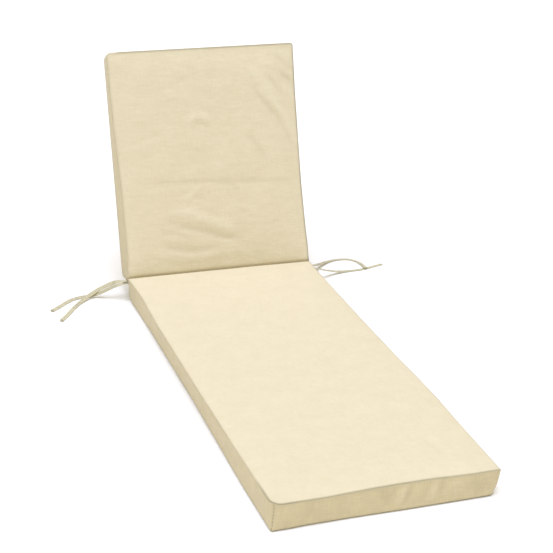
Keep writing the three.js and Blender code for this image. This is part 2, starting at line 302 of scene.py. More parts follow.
@dataclass(frozen=True)
class Thread:
    """Sewing thread of a cloth's own shade, twisted."""

    name: str = "sewing thread"
    colour: tuple[float, float, float] = (0.62, 0.54, 0.36)
    twist: float = 0.0008

    def build(self) -> bpy.types.Material:
        """Builds the material from bands that run askew over each stitch, the darker ones painted
        shade in the grooves of the twist.
        """
        sheet = NodeSheet(self.name)
        place = sheet.node("ShaderNodeTexCoord", {}, output=3)
        bands = sheet.node("ShaderNodeTexWave", {"bands_direction": "DIAGONAL"}, place,
                           1 / (2 * self.twist), output=1)
        # The darker bands are painted shade in the grooves of the twist.
        dark = rgba(tuple(0.75 * part for part in self.colour))
        sheet.feed(sheet.shader.inputs["Base Color"], sheet.mix(bands, dark, rgba(self.colour)))
        sheet.shader.inputs["Roughness"].default_value = 0.6
        return sheet.material


@dataclass(frozen=True)
class Crease:
    """A soft ridge in a pad's top panel, or a trough where its height is negative.

    Places are in the pad's own frame, from the middle of the fold. bow lifts the crease's
    middle off the straight line between its ends.
    """

    across: float
    up: float
    to_across: float
    to_up: float
    bow: float
    width: float
    height: float

    def lift(self, across: np.ndarray, up: np.ndarray) -> np.ndarray:
        """Height of the crease at points of the panel.

        Args:
            across: the points' places across the pad.
            up: their places along it.

        Returns:
            How far each point is lifted.
        """
        run = np.array([self.to_across - self.across, self.to_up - self.up])
        length = np.linalg.norm(run)
        share = ((across - self.across) * run[0] + (up - self.up) * run[1]) / length**2
        sideways = ((up - self.up) * run[0] - (across - self.across) * run[1]) / length
        inside = np.clip(share, 0, 1)
        off = sideways - self.bow * arch(inside)
        return self.height * np.exp(-((off / self.width) ** 2)) * np.sqrt(np.sin(np.pi * inside))


@dataclass(frozen=True)
class Pucker:
    """A pucker in the foot end's border; slant is how far it leans on its way down."""

    across: float
    slant: float
    width: float
    height: float

    def lift(self, across: np.ndarray, share: np.ndarray) -> np.ndarray:
        """How far it stands out at points of the border, share being 0 at the top seam."""
        fade = np.sin(np.pi * np.minimum(1, share / 0.9))
        off = across - self.across - self.slant * share
        return self.height * fade * np.exp(-((off / self.width) ** 2))


MAIN_CREASES = (
    Crease(-0.160, 0.158, 0.084, 0.086, -0.006, 0.012, -0.0026),
    Crease(-0.150, 0.200, 0.062, 0.114, 0.004, 0.016, 0.0027),
    Crease(-0.196, 0.092, 0.010, 0.074, -0.016, 0.011, -0.0020),
    Crease(-0.204, 0.062, 0.004, 0.040, -0.010, 0.014, 0.0020),
    Crease(0.138, 0.640, 0.296, 0.376, 0.010, 0.014, 0.0028),
    Crease(0.196, 0.516, 0.290, 0.352, 0.008, 0.011, -0.0025),
    Crease(0.214, 0.632, 0.292, 0.556, 0.004, 0.011, -0.0025),
    Crease(0.236, 0.676, 0.296, 0.620, 0.003, 0.010, 0.0026),
    Crease(-0.072, 0.462, 0.008, 0.462, 0.020, 0.013, 0.0025),
    Crease(-0.190, 0.284, 0.280, 0.258, 0.003, 0.009, -0.0010),
)
FINE_CREASES = (
    Crease(-0.172, 0.656, -0.121, 0.684, 0.002, 0.006, -0.0012),
    Crease(-0.096, 0.602, -0.058, 0.595, 0.001, 0.006, -0.0012),
    Crease(0.030, 0.270, 0.084, 0.246, 0.002, 0.006, -0.0016),
    Crease(-0.104, 0.220, -0.038, 0.270, -0.004, 0.007, 0.0014),
    Crease(-0.080, 0.234, -0.030, 0.225, 0.001, 0.005, -0.0014),
    Crease(-0.172, 0.131, -0.094, 0.106, 0.002, 0.007, -0.0016),
    Crease(-0.058, 0.446, 0.000, 0.446, 0.016, 0.007, -0.0014),
    Crease(0.256, 0.566, 0.294, 0.518, 0.002, 0.007, 0.0022),
    Crease(0.248, 0.604, 0.292, 0.574, 0.001, 0.006, -0.0020),
    Crease(0.150, 0.566, 0.218, 0.468, 0.004, 0.009, -0.0024),
    Crease(0.211, 0.640, 0.278, 0.566, 0.003, 0.007, 0.0020),
    Crease(0.182, 0.548, 0.285, 0.404, 0.006, 0.008, 0.0020),
    Crease(0.236, 0.460, 0.292, 0.364, 0.004, 0.007, 0.0018),
    Crease(0.204, 0.600, 0.262, 0.520, 0.002, 0.006, -0.0018),
    Crease(0.120, 0.420, 0.180, 0.330, 0.004, 0.010, -0.0016),
    Crease(-0.110, 0.120, -0.010, 0.100, 0.006, 0.008, 0.0014),
    Crease(-0.240, 0.288, 0.050, 0.272, 0.002, 0.005, -0.0012),
    Crease(0.040, 0.270, 0.250, 0.262, -0.002, 0.005, -0.0009),
    Crease(-0.030, 0.356, 0.052, 0.300, 0.004, 0.008, 0.0014),
    Crease(-0.052, 0.380, 0.020, 0.330, -0.002, 0.006, -0.0012),
    Crease(-0.234, 0.400, -0.150, 0.412, 0.003, 0.008, 0.0010),
    Crease(0.060, 0.200, 0.160, 0.150, 0.006, 0.010, 0.0012),
    Crease(-0.140, 0.560, -0.050, 0.530, 0.004, 0.008, 0.0009),
)
SEAT_CREASES = (
    Crease(0.186, 1.225, 0.168, 1.130, 0.003, 0.007, -0.0012),
    Crease(0.206, 1.190, 0.192, 1.120, 0.002, 0.008, 0.0010),
    Crease(-0.120, 0.960, 0.020, 0.990, 0.006, 0.014, 0.0008),
    Crease(-0.060, 0.200, 0.120, 0.170, 0.008, 0.014, 0.0008),
    Crease(0.270, 0.700, 0.284, 0.900, 0.002, 0.010, 0.0012),
)
FOOT_PUCKERS = (
    Pucker(-0.210, 0.014, 0.016, -0.0020),
    Pucker(-0.130, 0.010, 0.012, -0.0016),
    Pucker(-0.020, 0.026, 0.010, -0.0024),
    Pucker(0.022, -0.030, 0.008, -0.0022),
    Pucker(0.050, -0.026, 0.0065, 0.0040),
    Pucker(0.068, -0.024, 0.009, -0.0032),
    Pucker(0.110, -0.018, 0.008, -0.0018),
    Pucker(0.132, -0.014, 0.0065, 0.0036),
    Pucker(0.150, -0.010, 0.007, -0.0022),
    Pucker(0.176, 0.008, 0.006, 0.0018),
    Pucker(0.236, 0.010, 0.016, -0.0026),
)


def arch(share: np.ndarray) -> np.ndarray:
    """A curve that is 0 at both ends of a run and 1 in the middle."""
    return 4 * share * (1 - share)


def catmull_rom(values: np.ndarray, places: np.ndarray) -> np.ndarray:
    """Reads a smooth curve through evenly spaced values.

    Args:
        values: one row of numbers, or one value, for each whole place.
        places: the places wanted, from 0 to the last.

    Returns:
        The curve's rows at those places.
    """
    padded = np.concatenate([[2 * values[0] - values[1]], values, [2 * values[-1] - values[-2]]])
    row = np.minimum(places.astype(int), len(values) - 2)
    share = (places - row).reshape(-1, *[1] * (values.ndim - 1))
    first, second, third, fourth = (padded[row + shift] for shift in range(4))
    slope, next_slope = (third - first) / 2, (fourth - second) / 2
    rise = third - second
    bend = 3 * rise - 2 * slope - next_slope
    twist = slope + next_slope - 2 * rise
    return second + share * (slope + share * (bend + share * twist))


def mirrored_stops(edge: Sequence[float], whole: float, step: float) -> np.ndarray:
    """Distances over a width, close together at both edges and even over the middle.

    Args:
        edge: the distances wanted near an edge, rising from 0.
        whole: the width.
        step: the longest step over the middle.

    Returns:
        All the distances.
    """
    near = np.array(edge)
    count = math.ceil((whole - 2 * near[-1]) / step)
    middle = np.linspace(near[-1], whole - near[-1], count + 1)
    return np.concatenate([near[:-1], middle, whole - near[-2::-1]])


def seam_draw(distance: np.ndarray, ridge: Union[np.ndarray, float]) -> np.ndarray:
    """How far cloth is drawn in near its seam; the allowance inside lifts a ridge beside it."""
    groove = 0.0019 * np.exp(-((distance / 0.0014) ** 2))
    return groove - ridge * np.exp(-(((distance - 0.0045) / 0.0028) ** 2))


Line = tuple[tuple[float, float], ...]


@dataclass(frozen=True)
class Edge:
    """One pad edge: a corner's plan radius, and how far the seam strays outwards.

    The line holds pairs of a share of the edge's length and an offset there.
    """

    radius: float
    line: Line = ((0.0, 0.0), (1.0, 0.0))

    def strays(self, share: np.ndarray) -> np.ndarray:
        """How far the seam is out at shares of its length."""
        shares, offsets = zip(*self.line)
        return np.interp(share, shares, offsets)


@dataclass(frozen=True)
class Side:
    """One long side of a pad: its edges along the top seam and along the lower one."""

    top: Edge
    low: Edge


@dataclass
class Pad:
    """One boxed pad: its sections along its length, in its own frame.

    A pad's frame runs across it, along it away from the fold, and out of its top panel;
    along and out are those two directions in the part's Y and Z.
    """

    length: float
    along: tuple[float, float]
    out: tuple[float, float]
    step: float
    border: float
    half: float
    fold_y: float
    left: Side
    right: Side
    end: Side
    askew: float = 0.0
    rear_crown: float = 0.0
    creases: tuple[Crease, ...] = ()
    fine_creases: tuple[Crease, ...] = ()
    puckers: tuple[Pucker, ...] = ()
    unevenness: float = 0.0004
    corner_reach: float = 0.030

    # The sections that close a pad at the fold: top and lower places along, top and lower
    # depths, and how far the lower edge leans in.
    FOLD_SECTIONS = (
        (-0.0040, -0.0090, 0.0060, 0.0135, 0.0010),
        (0.0010, -0.0025, 0.0032, 0.0200, 0.0015),
        (0.0045, -0.0005, 0.0015, 0.0320, 0.0025),
        (0.0080, 0.0000, 0.0006, 0.0460, 0.0030),
        (0.0130, 0.0020, 0.0002, 0.0600, 0.0040),
        (0.0190, 0.0080, 0.0000, 0.0700, 0.0050),
        (0.0280, 0.0200, 0.0000, 0.0740, 0.0045),
        (0.0400, 0.0380, 0.0000, 0.0740, 0.0040),
    )
    CORNER_TURNS = (10, 20, 30, 42, 45, 48, 60, 70, 80, 90)

    def sections(self) -> np.ndarray:
        """All sections from the fold to the far seam.

        Returns:
            A row for each section: its top and lower places along, its top and lower depths,
            how far its lower edge leans in, and the angle of the far corners' arcs. The last
            sections' places are those of the uncut corners.
        """
        rows = len(self.FOLD_SECTIONS)
        fold = catmull_rom(np.array(self.FOLD_SECTIONS), np.arange(0, rows - 0.5, 0.5))
        near = np.hstack([fold, np.zeros((len(fold), 1))])
        last = self.length - self.corner_reach
        count = round((last - fold[-1, 0]) / self.step)
        plain = np.linspace(fold[-1, 0], last, count + 1)[1:]
        turn = np.radians(self.CORNER_TURNS)
        along = np.concatenate([plain, np.full(len(turn), self.length)])
        turns = np.concatenate([np.zeros(len(plain)), turn])
        flat, deep = np.zeros(len(along)), np.full(len(along), self.border)
        lean = np.full(len(along), self.FOLD_SECTIONS[-1][4])
        far = np.stack([along, along, flat, deep, lean, turns], axis=1)
        return np.concatenate([near, far])

    def spread(self, section: np.ndarray, share: np.ndarray,
               down: np.ndarray) -> tuple[np.ndarray, np.ndarray, np.ndarray]:
        """Spreads vertices between the edges of their sections, round the far corners.

        Args:
            section: each vertex's section.
            share: its place from the left edge, -1, to the right edge, 1.
            down: its place from the top seam, 0, to the lower seam, 1.

        Returns:
            How far across and along it is, and the radius of the corner on its side.
        """
        turn = section[:, 5]
        along = section[:, 0] + (section[:, 1] - section[:, 0]) * down
        half = self.half - section[:, 4] * down
        gap = np.where(turn > 0, 1 - np.sin(turn), 0)
        radii = [side.top.radius + (side.low.radius - side.top.radius) * down**2
                 for side in (self.left, self.right)]
        left, right = (half + self.strays(side, along, down) - radius * (1 - np.cos(turn))
                       for radius, side in zip(radii, (self.left, self.right)))
        near, far = (along - radius * gap for radius in radii)
        place = (share + 1) / 2
        reach = np.clip((along / self.length - 0.9) / 0.1, 0, 1)
        further = reach * self.end_strays(place, down)
        return (right * place - left * (1 - place), near + (far - near) * place + further,
                np.where(share < 0, *radii))

    def place(self, across: np.ndarray, along: np.ndarray, height: np.ndarray) -> np.ndarray:
        """Turns places in the pad's own frame into the part's frame."""
        along = along * (1 + self.askew / self.length * (0.5 + across / (2 * self.half)))
        return np.stack([across,
                         self.fold_y + self.along[0] * along + self.out[0] * height,
                         self.border + self.along[1] * along + self.out[1] * height], axis=1)

    def strays(self, side: Side, along: np.ndarray, down: np.ndarray) -> np.ndarray:
        """How far a side strays outwards at places along it and down its border."""
        top, low = (edge.strays(along / self.length) for edge in (side.top, side.low))
        return top + (low - top) * down

    def end_strays(self, place: np.ndarray, down: np.ndarray) -> np.ndarray:
        """How far the far end strays outwards at places across it and down its border."""
        top, low = (edge.strays(place) for edge in (self.end.top, self.end.low))
        return top + (low - top) * down

    def seam_distance(self, across: np.ndarray, along: np.ndarray, share: np.ndarray,
                      down: np.ndarray, lean: np.ndarray, radius: np.ndarray) -> np.ndarray:
        """How far points of a top or lower panel are from its seam.

        Args:
            across: the points' places across the pad.
            along: their places along it.
            share: their places from the left edge, -1, to the right edge, 1.
            down: 0 on the top panel and 1 on the lower one.
            lean: how far the section's lower edge leans in.
            radius: the radius of the far corner on each point's side.

        Returns:
            The distances.
        """
        further = self.end_strays((share + 1) / 2, down)
        stray = np.where(share < 0, self.strays(self.left, along - further, down),
                         self.strays(self.right, along - further, down))
        side = np.abs(across) - (self.half + stray - lean * down - radius)
        end = along - (self.length + further - radius)
        outside = np.hypot(np.maximum(side, 0), np.maximum(end, 0))
        return np.maximum(radius - outside - np.minimum(np.maximum(side, end), 0), 0)


SEAT_LEFT = Side(
    Edge(0.030, ((0.0, 0.002), (0.02, 0.001), (0.11, -0.004), (0.17, -0.001), (0.24, 0.002),
                 (0.60, 0.003), (0.72, 0.002), (1.0, 0.0))),
    Edge(0.003, ((0.0, -0.001), (0.19, -0.0044), (0.50, -0.0038), (0.64, -0.0005),
                 (0.85, 0.0045), (1.0, 0.0035))))
SEAT_RIGHT = Side(
    Edge(0.005, ((0.0, 0.003), (0.08, 0.001), (0.34, 0.001), (0.45, 0.0026), (0.55, 0.0045),
                 (0.64, 0.0085), (0.73, 0.0095), (0.81, 0.0065), (0.90, 0.005), (1.0, 0.004))),
    Edge(0.026, ((0.0, 0.0), (0.6, 0.001), (1.0, 0.002))))
SEAT_END = Side(
    Edge(0.0, ((0.0, 0.0072), (0.12, 0.0075), (0.23, 0.0065), (0.29, 0.004), (0.36, 0.0023),
               (0.43, 0.0008), (0.55, 0.0), (0.65, 0.0), (0.72, 0.0014), (0.78, 0.004),
               (0.86, 0.006), (1.0, 0.006))),
    Edge(0.0, ((0.0, 0.0076), (0.08, 0.007), (0.15, 0.0048), (0.35, 0.0044), (0.5, 0.006),
               (0.6, 0.0073), (1.0, 0.0076))))
BACK_LEFT = Side(
    Edge(0.014, ((0.0, 0.002), (0.03, -0.001), (0.12, -0.0042), (0.26, -0.0034),
                 (0.39, -0.0022), (0.52, 0.0013), (0.66, 0.0052), (0.79, 0.0072), (0.88, 0.0082),
                 (1.0, 0.0082))),
    Edge(0.018, ((0.0, 0.005), (0.1, 0.005), (1.0, 0.0045))))
BACK_RIGHT = Side(
    Edge(0.008, ((0.0, 0.0035), (0.08, 0.0035), (0.14, 0.0012), (0.23, -0.0004), (0.37, -0.0024),
                 (0.51, -0.0016), (0.65, -0.0005), (0.79, 0.0006), (0.88, 0.0025), (1.0, 0.005))),
    Edge(0.012, ((0.0, 0.0), (1.0, 0.001))))
BACK_END = Side(Edge(0.0), Edge(0.0))


@dataclass
class Cover:
    """The cushion's padded cover: one lattice of cloth round both pads and over the fold."""

    half_width: float = 0.300
    border: float = 0.074
    seat_length: float = 1.306
    back_length: float = 0.696
    back_angle: float = 68.0
    fold_y: float = 0.492
    bulge: float = 0.004
    side_bulge: float = 0.002
    crown: float = 0.008
    start_share: float = 0.6
    column_step: float = 0.0068
    seat_step: float = 0.011
    back_step: float = 0.007
    lower_lift: float = 0.0022
    lower_run: float = 0.007
    swell_cap: float = 0.0042
    panel_ridge: float = 0.0005
    border_ridge: float = 0.0012
    seam_shade: float = 0.0032
    set_share: float = 0.35
    full_crease: float = 0.0030
    fold_shade: float = 0.0040
    frames: int = 20

    EDGE_STOPS = (0.0, 0.0011, 0.0028, 0.0052, 0.0085, 0.0130, 0.0195)

    def __post_init__(self) -> None:
        """Works out the pads and the lattice's lines from the sizes."""
        half = self.half_width
        run, rise = math.cos(math.radians(self.back_angle)), math.sin(math.radians(self.back_angle))
        self.seat = Pad(self.seat_length, (-1.0, 0.0), (0.0, 1.0), self.seat_step, self.border,
                        half, self.fold_y, SEAT_LEFT, SEAT_RIGHT, SEAT_END,
                        fine_creases=SEAT_CREASES, puckers=FOOT_PUCKERS, unevenness=0.0005)
        self.back = Pad(self.back_length, (run, rise), (-rise, run), self.back_step,
                        self.border, half, self.fold_y, BACK_LEFT, BACK_RIGHT, BACK_END,
                        askew=0.006, rear_crown=0.004, creases=MAIN_CREASES,
                        fine_creases=FINE_CREASES, unevenness=0.0009)
        seat_rows = self.seat.sections()[::-1]
        back_rows = self.back.sections()[1:]
        self.rows = np.concatenate([seat_rows, back_rows])
        self.fold_row = len(seat_rows) - 1
        stops = mirrored_stops(self.EDGE_STOPS, 2 * half, self.column_step)
        self.shares = stops / half - 1
        self.levels = mirrored_stops(self.EDGE_STOPS, self.border, self.column_step) / self.border

    def lattice(self) -> bpy.types.Mesh:
        """Makes the cover's mesh, with each vertex still at its address in the lattice.

        Returns:
            A closed mesh of quads whose vertices stand on whole numbers.
        """
        counts = (len(self.shares) - 1, len(self.rows) - 1, len(self.levels) - 1)
        block = bmesh.new()
        bmesh.ops.create_cube(block, size=1.0, matrix=Matrix.Translation((0.5, 0.5, 0.5)))
        for axis, count in enumerate(counts):
            edges = [edge for edge in block.edges
                     if abs(edge.verts[0].co[axis] - edge.verts[1].co[axis]) > 0.5]
            bmesh.ops.subdivide_edges(block, edges=edges, cuts=count - 1, use_grid_fill=True)
        bmesh.ops.scale(block, vec=Vector(counts), verts=block.verts)
        mesh = bpy.data.meshes.new("cushion")
        block.to_mesh(mesh)
        block.free()
        return mesh

    def read(self, address: np.ndarray) -> None:
        """Works out from the addresses where each vertex is on the cover.

        Args:
            address: whole numbers for column, row and level, one row for each vertex.
        """
        column, row, level = address.T
        self.on_top = level == len(self.levels) - 1
        self.on_lower = level == 0
        self.on_end = ~self.on_top & ~self.on_lower & ((row == 0) | (row == len(self.rows) - 1))
        self.on_side = ~self.on_top & ~self.on_lower & ~self.on_end
        self.is_back = row > self.fold_row
        self.share = self.shares[column]
        self.down = np.clip(1 - self.levels[level], 0, 1)
        self.section = self.rows[row]
        self.outline = (np.abs(self.share) > 1 - 1e-6) | (row == 0) | (row == len(self.rows) - 1)
        turn = self.section[:, 5]
        ends = (row == 0) | (row == len(self.rows) - 1)
        sideways = np.where(np.abs(self.share) > 1 - 1e-6, np.sign(self.share), 0)
        self.out_across = np.where(ends, 0.0, sideways * np.cos(turn))
        self.out_along = np.where(ends, 1.0, np.abs(sideways) * np.sin(turn))
        seat, back = (np.stack(pad.spread(self.section, self.share, self.down))
                      for pad, _ in self.pads())
        self.across, self.along, self.radius = np.where(self.is_back, back, seat)

    def pads(self) -> list[tuple[Pad, np.ndarray]]:
        """Each pad with the vertices that are its own."""
        return [(self.seat, ~self.is_back), (self.back, self.is_back)]

    def crown_share(self, pad: Pad, along: np.ndarray) -> np.ndarray:
        """The filling's crown at each vertex, from 0 at the seams to 1 over the middle."""
        across = 1 - np.abs(self.share) ** 6
        fade = [1 - np.exp(-np.maximum(distance, 0) / 0.020)
                for distance in (along, pad.length - along)]
        return np.minimum(1, across / 0.9) * np.minimum(1, fade[0] * fade[1] / 0.9)

    def seams(self) -> tuple[np.ndarray, np.ndarray]:
        """Measures each vertex from the nearest seam.

        Returns:
            The distance to the border's seams, and the distance to the upright seam that
            joins the border's ends at one corner of the foot.
        """
        lean, turn = self.section[:, 4:].T
        distance = np.zeros(len(self.share))
        for pad, own in self.pads():
            for flat, down in ((self.on_top, 0.0), (self.on_lower, 1.0)):
                found = pad.seam_distance(self.across, self.along, self.share, down, lean,
                                          self.radius)
                distance = np.where(own & flat, found, distance)
        depth = self.down * self.border
        wall = self.on_side | self.on_end
        distance = np.where(wall, np.minimum(depth, self.border - depth), distance)
        before = np.maximum(self.seat.length - self.radius - self.along, 0)
        upright = np.abs(turn - math.radians(45)) * self.radius + before
        joined = self.on_side & ~self.is_back & (self.share < 0)
        return distance, np.where(joined, upright, 1.0)

    def start(self) -> np.ndarray:
        """Places every vertex on the filling before it swells.

        Returns:
            The vertices' places in the part's frame.
        """
        top_depth, low_depth = self.section[:, 2:4].T
        places = np.zeros((len(self.share), 3))
        seam, _ = self.seams()
        across, along = self.across, self.along
        full = low_depth > 0.999 * self.border
        lift = full * self.lower_lift * np.maximum(0, 1 - seam / self.lower_run) ** 2
        bottom = low_depth - full * self.lower_lift
        depth = top_depth + (bottom - top_depth) * self.down
        turned = np.sin(self.section[:, 5]) ** 2
        bulge = self.side_bulge + (self.bulge - self.side_bulge) * turned
        out = 0.5 * bulge * (low_depth - top_depth) / self.border * arch(self.down)
        for pad, own in self.pads():
            crown = self.crown_share(pad, along)
            uneven = [pad.unevenness * noise.noise(Vector((9 * x, 9 * y, pad.length)))
                      for x, y in zip(across, along)]
            folds = sum((crease.lift(across, along) for crease in pad.creases), np.zeros(1))
            swell = self.start_share * self.crown * crown + 2 * np.array(uneven)
            top = pad.place(across, along, swell + folds - top_depth)
            lower = pad.place(across, along, lift - low_depth - pad.rear_crown * crown)
            wall = pad.place(across + out * self.out_across, along + out * self.out_along, -depth)
            for flag, found in ((self.on_top, top), (self.on_lower, lower),
                                (self.on_side | self.on_end, wall)):
                places[own & flag] = found[own & flag]
        return places

    def held(self, seam: np.ndarray) -> np.ndarray:
        """How firmly each vertex is held while the cover swells, from 0 to 1."""
        near = np.clip(1 - (seam - 0.003) / 0.006, 0, 1)
        web = np.clip(1 - (self.section[:, 0] - 0.010) / 0.030, 0, 1)
        rests = self.on_lower & ~self.is_back
        return np.where(rests, 1.0, np.maximum(near, web))

    def swell(self, piece: bpy.types.Object, start: np.ndarray, held: np.ndarray) -> np.ndarray:
        """Runs the cloth simulation under pressure and caps how far each vertex moves.

        Args:
            piece: the cover, whose mesh stands at the start places.
            start: those places.
            held: how firmly each vertex is held.

        Returns:
            The swelled places.
        """
        group = piece.vertex_groups.new(name="held")
        for step in np.unique(np.round(held, 2)):
            members = np.flatnonzero(np.abs(held - step) <= 0.005).tolist()
            group.add(members, float(step), "REPLACE")
        cloth = piece.modifiers.new("swell", "CLOTH")
        settings = cloth.settings
        settings.quality = 4
        settings.mass = 0.2
        settings.tension_stiffness = settings.compression_stiffness = 12
        settings.bending_stiffness = 0.4
        settings.use_pressure = True
        settings.uniform_pressure_force = 4
        settings.vertex_group_mass = group.name
        settings.effector_weights.gravity = 0
        cloth.collision_settings.use_collision = False
        for number in range(1, self.frames + 1):
            bpy.context.scene.frame_set(number)
        solved = piece.evaluated_get(bpy.context.evaluated_depsgraph_get())
        moved = np.zeros(3 * len(start), np.float32)
        solved.data.vertices.foreach_get("co", moved)
        piece.modifiers.remove(cloth)
        piece.vertex_groups.remove(group)
        bpy.context.scene.frame_set(1)
        move = moved.reshape(-1, 3) - start
        length = np.linalg.norm(move, axis=1, keepdims=True)
        log.info("cloth moved %.1f mm at most", 1000 * length.max())
        cap = self.swell_cap
        return start + move * (cap * np.tanh(length / cap) / np.maximum(length, 1e-9))

    def painted_shading(self) -> np.ndarray:
        """How far each vertex is on a crease's crest, up to 1, or in its trough, down to -1, for
        the painted highlight on crests and the painted shade in troughs.
        """
        lift = np.zeros(len(self.share))
        for pad, own in self.pads():
            flat = sum((crease.lift(self.across, self.along)
                        for crease in pad.creases + pad.fine_creases), np.zeros(1))
            upright = sum((pucker.lift(self.across, self.down) for pucker in pad.puckers),
                          np.zeros(1))
            lift = np.where(own, self.on_top * flat + self.on_end * upright, lift)
        return np.tanh(lift / self.full_crease)

    def tightness(self) -> np.ndarray:
        """How tightly the nearest seam is drawn, less on the left sides' top seams."""
        left = np.clip((-0.9 - self.share) / 0.06, 0, 1) * np.clip((0.35 - self.down) / 0.1, 0, 1)
        seat = np.clip((self.seat.length - 0.06 - self.along) / 0.06, 0, 1)
        slack = np.where(self.is_back, 0.65, 0.65 * seat)
        return 1 - left * slack

    def relief(self) -> np.ndarray:
        """How far small creases and puckers lift each vertex of the swelled cover."""
        lift = np.zeros(len(self.share))
        for pad, own in self.pads():
            flat = sum((crease.lift(self.across, self.along) for crease in pad.fine_creases),
                       np.zeros(1))
            again = sum((crease.lift(self.across, self.along) for crease in pad.creases),
                        np.zeros(1))
            upright = sum((pucker.lift(self.across, self.down) for pucker in pad.puckers),
                          np.zeros(1))
            found = self.on_top * (flat + self.set_share * again) + self.on_end * upright
            lift = np.where(own, found, lift)
        return lift

    def drawn_in(self, places: np.ndarray, normals: np.ndarray, seam: np.ndarray,
                 upright: np.ndarray) -> np.ndarray:
        """Draws the cloth in along its seams and lays its small creases in it.

        Args:
            places: the vertices' places.
            normals: the cloth's outward directions there.
            seam: distances from the border's seams.
            upright: distances from the upright corner seam.

        Returns:
            The new places, none below the surface that the seat lies on.
        """
        ridge = np.where(self.on_top | self.on_lower, self.panel_ridge, self.border_ridge)
        draw = self.tightness() * seam_draw(seam, ridge) + 0.6 * seam_draw(upright, 0.0005)
        fresh = places + normals * (self.relief() - draw)[:, None]
        fresh[:, 2] = np.maximum(fresh[:, 2], 0.0)
        return fresh

    def shade(self, seam: np.ndarray, upright: np.ndarray) -> np.ndarray:
        """How much painted shade darkens the cloth, from 0 to 1: beside its seams and in the fold's
        valley, where it also stands for the darker thread, and on the border strips near the fold.

        Args:
            seam: distances from the border's seams.
            upright: distances from the upright corner seam.

        Returns:
            The painted shade at each vertex.
        """
        # The back's rear seam gets a wider band of painted shade, where its border strip turns away
        # from the light.
        rear = self.is_back & (self.down > 0.5)
        wide = np.where(rear & ~self.on_lower, 0.014,
                        np.where(self.is_back, 0.0045, self.seam_shade))
        near = self.tightness() * np.where(rear, 0.5, 0.9) * np.exp(-((seam / wide) ** 2))
        near = np.maximum(near, 0.28 * np.exp(-((upright / self.seam_shade) ** 2)))
        # Painted shade and darker thread in the fold's valley, and painted shade on the border
        # strips near the fold, where the fold and the ties shade them.
        fold_thread_and_shade = 0.38 * self.on_top * np.exp(-((self.along / self.fold_shade) ** 2))
        shade_beside_fold = 0.16 * self.on_side * np.exp(-((self.along / 0.12) ** 2))
        return np.maximum(np.maximum(near, fold_thread_and_shade), shade_beside_fold)

    def wrap(self, mesh: bpy.types.Mesh) -> None:
        """Gives the mesh its cloth UV map, in metres of cloth.

        Args:
            mesh: the cover's mesh, of quads.
        """
        turn = self.section[:, 5]
        arc = np.where(self.on_side & (turn > 0), self.radius * (turn - np.sin(turn)), 0)
        along = np.where(self.is_back, 1, -1) * (self.along + arc)
        across, depth = self.across, self.down * self.border
        corners = np.zeros(len(mesh.loops), int)
        mesh.loops.foreach_get("vertex_index", corners)
        quads = corners.reshape(-1, 4)
        top = np.all(self.on_top[quads], axis=1)
        lower = np.all(self.on_lower[quads], axis=1)
        ends = ~top & ~lower & np.all(self.out_along[quads] > 0.999, axis=1)
        flat = top | lower
        u = np.where(flat[:, None] | ends[:, None], across[quads], along[quads])
        v = np.where(flat[:, None], along[quads], depth[quads])
        shift = np.where(lower, 3.0, np.where(ends, 5.0, np.where(flat, 0.0, 7.0)))
        layer = mesh.uv_layers.new(name="cloth")
        layer.data.foreach_set("uv", np.stack([u + shift[:, None], v], axis=2).ravel())

    def build(self) -> bpy.types.Object:
        """Builds the whole cover.

        Returns:
            The finished cushion.
        """
        mesh = self.lattice()
        address = np.zeros(3 * len(mesh.vertices), np.float32)
        mesh.vertices.foreach_get("co", address)
        self.read(np.rint(address.reshape(-1, 3)).astype(int))
        places = self.start()
        mesh.vertices.foreach_set("co", places.ravel())
        mesh.update()
        piece = bpy.data.objects.new("cushion_cover", mesh)
        bpy.context.scene.collection.objects.link(piece)
        seam, upright = self.seams()
        places = self.swell(piece, places, self.held(seam))
        mesh.vertices.foreach_set("co", places.ravel())
        mesh.update()
        normals = np.array([vertex.normal for vertex in mesh.vertices])
        places = self.drawn_in(places, normals, seam, upright)
        mesh.vertices.foreach_set("co", places.ravel())
        self.wrap(mesh)
        # seam carries painted shade, with the thread's colour in the seams; fold carries the
        # creases for their painted highlight and shade; border marks the strips painted a darker,
        # shaded colour.
        seam_thread_and_shade = mesh.attributes.new("seam", "FLOAT", "POINT")
        seam_thread_and_shade.data.foreach_set("value", self.shade(seam, upright).astype(np.float32))
        fold = mesh.attributes.new("fold", "FLOAT", "POINT")
        fold.data.foreach_set("value", self.painted_shading().astype(np.float32))
        border = mesh.attributes.new("border", "FLOAT", "POINT")
        border.data.foreach_set("value", (~self.on_top & ~self.on_lower).astype(np.float32))
        mesh.shade_smooth()
        mesh.materials.append(CUSHION_CANVAS.build())
        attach(piece, BODY)
        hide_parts("cushion")
        on_seam = np.flatnonzero(upright < 1e-6)
        line = places[on_seam][np.argsort(self.down[on_seam])]
        CornerStitches(line, Vector((-1, -1, 0)).normalized()).build()
        log.info("%s: %d faces", piece.name, len(mesh.polygons))
        return piece


def finish_smooth(piece: bpy.types.Object, levels: int = 1) -> None:
    """Adds a subdivision surface, the same in the view and in the render."""
    modifier = piece.modifiers.new("smooth", "SUBSURF")
    modifier.levels = modifier.render_levels = levels


@dataclass
class StitchRow:
    """Thread stitches of one size, laid one by one on a surface."""

    length: float = 0.0034
    thick: float = 0.0003

    def add(self, target: bmesh.types.BMesh, middle: Vector, along: Vector, out: Vector) -> None:
        """Adds one stitch.

        Args:
            target: the mesh that gets it.
            middle: its middle, on the surface.
            along: the way that it runs.
            out: the way that the surface faces.
        """
        side = out.cross(along).normalized()
        turn = Matrix((along.normalized(), side, out.normalized())).transposed().to_4x4()
        shape = Matrix.Diagonal((self.length / 2, self.thick, self.thick, 1.0))
        matrix = Matrix.Translation(middle) @ turn @ shape
        bmesh.ops.create_icosphere(target, subdivisions=1, radius=1.0, matrix=matrix)


